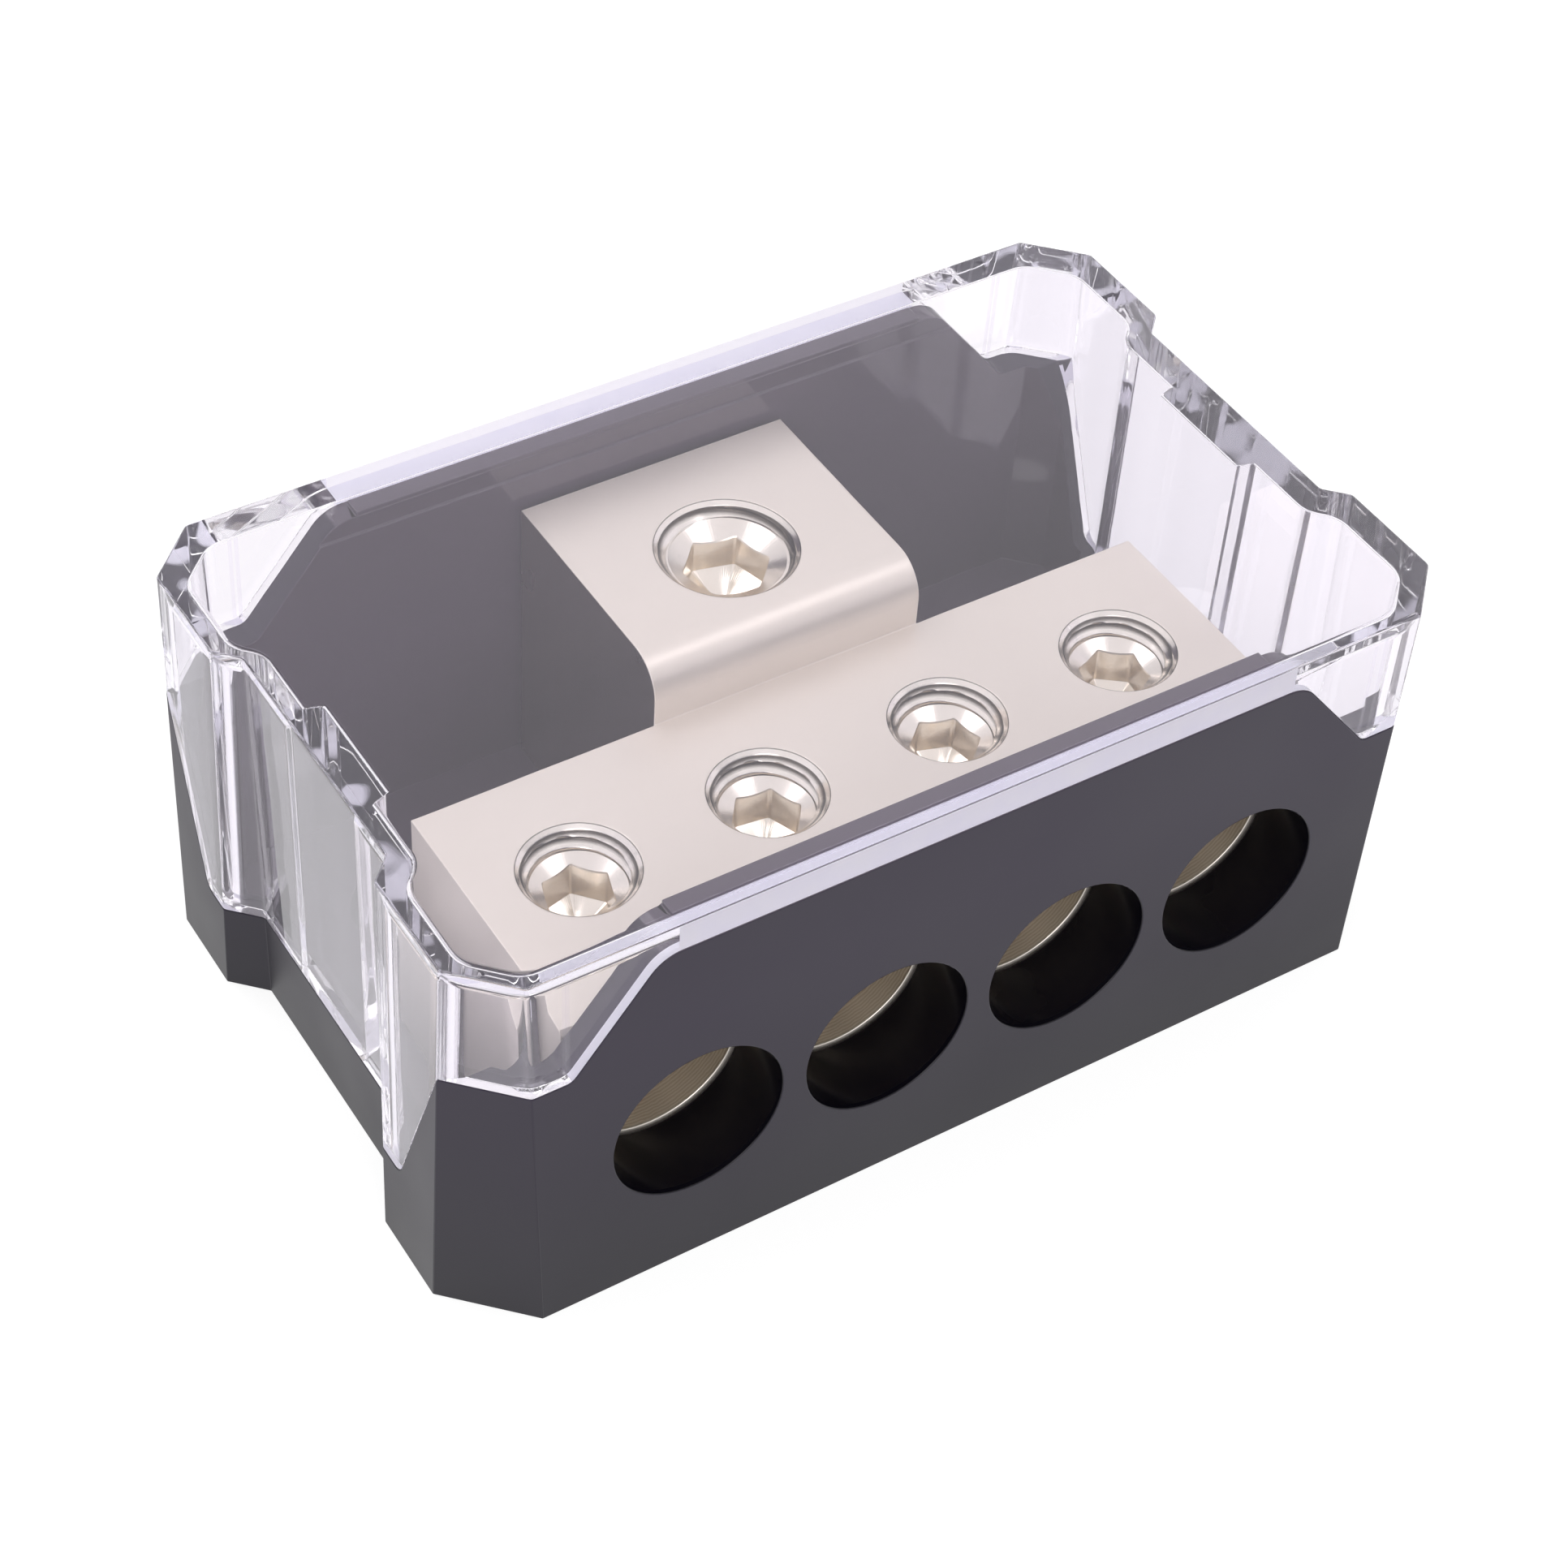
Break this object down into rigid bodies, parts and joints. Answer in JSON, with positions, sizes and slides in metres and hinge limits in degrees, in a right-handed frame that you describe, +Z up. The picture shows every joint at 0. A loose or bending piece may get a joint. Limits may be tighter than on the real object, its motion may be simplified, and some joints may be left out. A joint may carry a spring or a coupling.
{
  "type": "power distribution block",
  "caption": "Small power distribution block: black moulded base, plated metal block with hex socket set screws, cable entries front and rear, and a clear lift-off cover.",
  "frame": {"origin": "centre of the base's underside", "axes": "+X along the length, -Y towards the face with the four output entries, +Z up through the cover"},
  "size_m": [0.08, 0.0506, 0.0335],
  "materials": {
    "base_plastic": "satin",
    "clear_plastic": "gloss",
    "satin_nickel": "satin",
    "screw_nickel": "gloss",
    "zinc_steel": "satin"
  },
  "bodies": {
    "base": {"base_housing": "base_plastic", "terminal_block": "satin_nickel", "block_screw_left": "zinc_steel", "block_screw_right": "zinc_steel"},
    "cover": {"clear_cover": "clear_plastic"},
    "input_screw": {"input_screw": "screw_nickel"},
    "output_screw_1": {"output_screw_1": "screw_nickel"},
    "output_screw_2": {"output_screw_2": "screw_nickel"},
    "output_screw_3": {"output_screw_3": "screw_nickel"},
    "output_screw_4": {"output_screw_4": "screw_nickel"}
  },
  "joints": [
    {"name": "cover_lift", "type": "slide", "parent": "base", "child": "cover", "axis": [0, 0, 1], "range_m": [0, 0.04]},
    {"name": "input_screw_travel", "type": "slide", "parent": "base", "child": "input_screw", "axis": [0, 0, 1], "range_m": [-0.003, 0.0045]},
    {"name": "output_screw_1_travel", "type": "slide", "parent": "base", "child": "output_screw_1", "axis": [0, 0, 1], "range_m": [0, 0.00875]},
    {"name": "output_screw_2_travel", "type": "slide", "parent": "base", "child": "output_screw_2", "axis": [0, 0, 1], "range_m": [0, 0.00875]},
    {"name": "output_screw_3_travel", "type": "slide", "parent": "base", "child": "output_screw_3", "axis": [0, 0, 1], "range_m": [0, 0.00875]},
    {"name": "output_screw_4_travel", "type": "slide", "parent": "base", "child": "output_screw_4", "axis": [0, 0, 1], "range_m": [0, 0.00875]}
  ]
}
